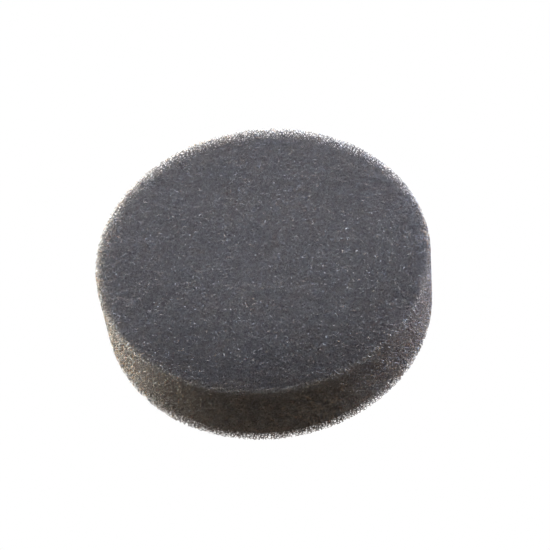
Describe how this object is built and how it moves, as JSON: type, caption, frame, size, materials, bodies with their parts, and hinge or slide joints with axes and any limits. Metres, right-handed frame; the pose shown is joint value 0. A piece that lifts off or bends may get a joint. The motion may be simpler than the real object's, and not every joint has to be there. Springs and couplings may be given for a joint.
{
  "type": "foam polishing pad",
  "caption": "Flat round polishing pad: a straight-sided disc of open-cell foam with a hook-and-loop backing that sits inside its edge.",
  "frame": {"origin": "centre of the loop face, which the pad stands on", "axes": "+Z along the pad's axis, from the loop face to the working face; the pad is round, so +X and +Y are any two directions across it"},
  "size_m": [0.08, 0.08, 0.0215],
  "materials": {
    "foam": "matt open-cell polyurethane foam, charcoal grey",
    "glue": "translucent hot-melt film",
    "ground": "knitted black polyamide",
    "pile": "brushed black polyamide loops"
  },
  "bodies": {
    "root": {"foam_disc": "foam", "glue_film": "glue", "loop_ground": "ground", "loop_pile": "pile"}
  },
  "joints": []
}
